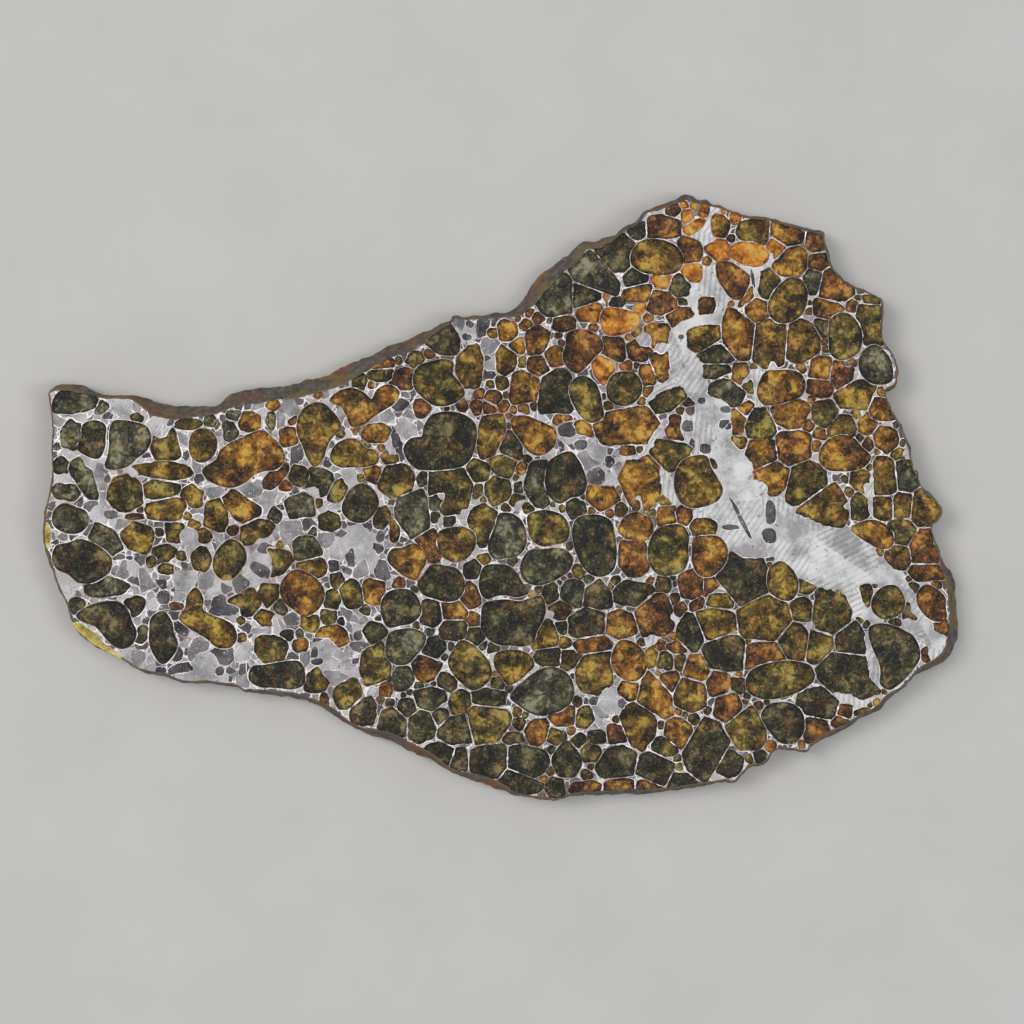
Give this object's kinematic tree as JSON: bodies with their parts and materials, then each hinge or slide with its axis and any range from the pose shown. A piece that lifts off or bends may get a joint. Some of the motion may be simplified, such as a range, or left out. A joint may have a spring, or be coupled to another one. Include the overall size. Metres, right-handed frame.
{
  "type": "meteorite slice",
  "caption": "Flat slice of a pallasite meteorite: a polished iron-nickel sponge with olivine crystals through it and a rough natural rim",
  "frame": {"origin": "middle of the slice's bounding box, on the sawn back face that it lies on", "axes": "+Z out of the polished front face, +X along the slice from its narrow end to its wide end, +Y up in the picture"},
  "size_m": [0.1656, 0.1098, 0.006],
  "materials": {
    "nickel_iron": "polished iron-nickel metal",
    "olivine_amber": "polished amber olivine",
    "olivine_dark": "polished near-black green olivine",
    "olivine_honey": "polished honey-brown olivine",
    "olivine_olive": "polished green-brown olivine",
    "olivine_rust": "polished rust-stained olivine",
    "olivine_smoky": "polished smoky olivine"
  },
  "bodies": {
    "root": {"iron_nickel_matrix": "nickel_iron", "olivine_crystal_01": "olivine_dark", "olivine_crystal_02": "olivine_smoky", "olivine_crystal_03": "olivine_amber", "olivine_crystal_04": "olivine_honey", "olivine_crystal_05": "olivine_smoky", "olivine_crystal_06": "olivine_dark", "olivine_crystal_07": "olivine_dark", "olivine_crystal_08": "olivine_dark", "olivine_crystal_09": "olivine_honey", "olivine_crystal_10": "olivine_olive", "olivine_crystal_11": "olivine_dark", "olivine_crystal_12": "olivine_honey", "olivine_crystal_13": "olivine_amber", "olivine_crystal_14": "olivine_honey", "olivine_crystal_15": "olivine_olive", "olivine_crystal_16": "olivine_dark", "olivine_crystal_17": "olivine_dark", "olivine_crystal_18": "olivine_amber", "olivine_crystal_19": "olivine_amber", "olivine_crystal_20": "olivine_honey", "olivine_crystal_21": "olivine_dark", "olivine_crystal_22": "olivine_dark", "olivine_crystal_23": "olivine_smoky", "olivine_crystal_24": "olivine_olive", "olivine_crystal_25": "olivine_dark", "olivine_crystal_26": "olivine_dark", "olivine_crystal_27": "olivine_honey", "olivine_crystal_28": "olivine_smoky", "olivine_crystal_29": "olivine_smoky", "olivine_crystal_30": "olivine_olive", "olivine_crystal_31": "olivine_smoky", "olivine_crystal_32": "olivine_dark", "olivine_crystal_33": "olivine_amber", "olivine_crystal_34": "olivine_dark", "olivine_crystal_35": "olivine_rust", "olivine_crystal_36": "olivine_amber", "olivine_crystal_37": "olivine_olive", "olivine_crystal_38": "olivine_honey", "olivine_crystal_39": "olivine_olive", "olivine_crystal_40": "olivine_olive", "olivine_crystal_41": "olivine_amber", "olivine_crystal_42": "olivine_honey", "olivine_crystal_43": "olivine_amber", "olivine_crystal_44": "olivine_rust", "olivine_crystal_45": "olivine_honey", "olivine_crystal_46": "olivine_smoky", "olivine_crystal_47": "olivine_olive", "olivine_crystal_48": "olivine_amber", "olivine_crystal_49": "olivine_amber", "olivine_crystal_50": "olivine_amber", "olivine_crystal_51": "olivine_rust", "olivine_crystal_52": "olivine_olive", "olivine_crystal_53": "olivine_honey", "olivine_crystal_54": "olivine_dark", "olivine_crystal_55": "olivine_olive", "olivine_crystal_56": "olivine_dark", "olivine_crystal_57": "olivine_amber"}
  },
  "joints": []
}
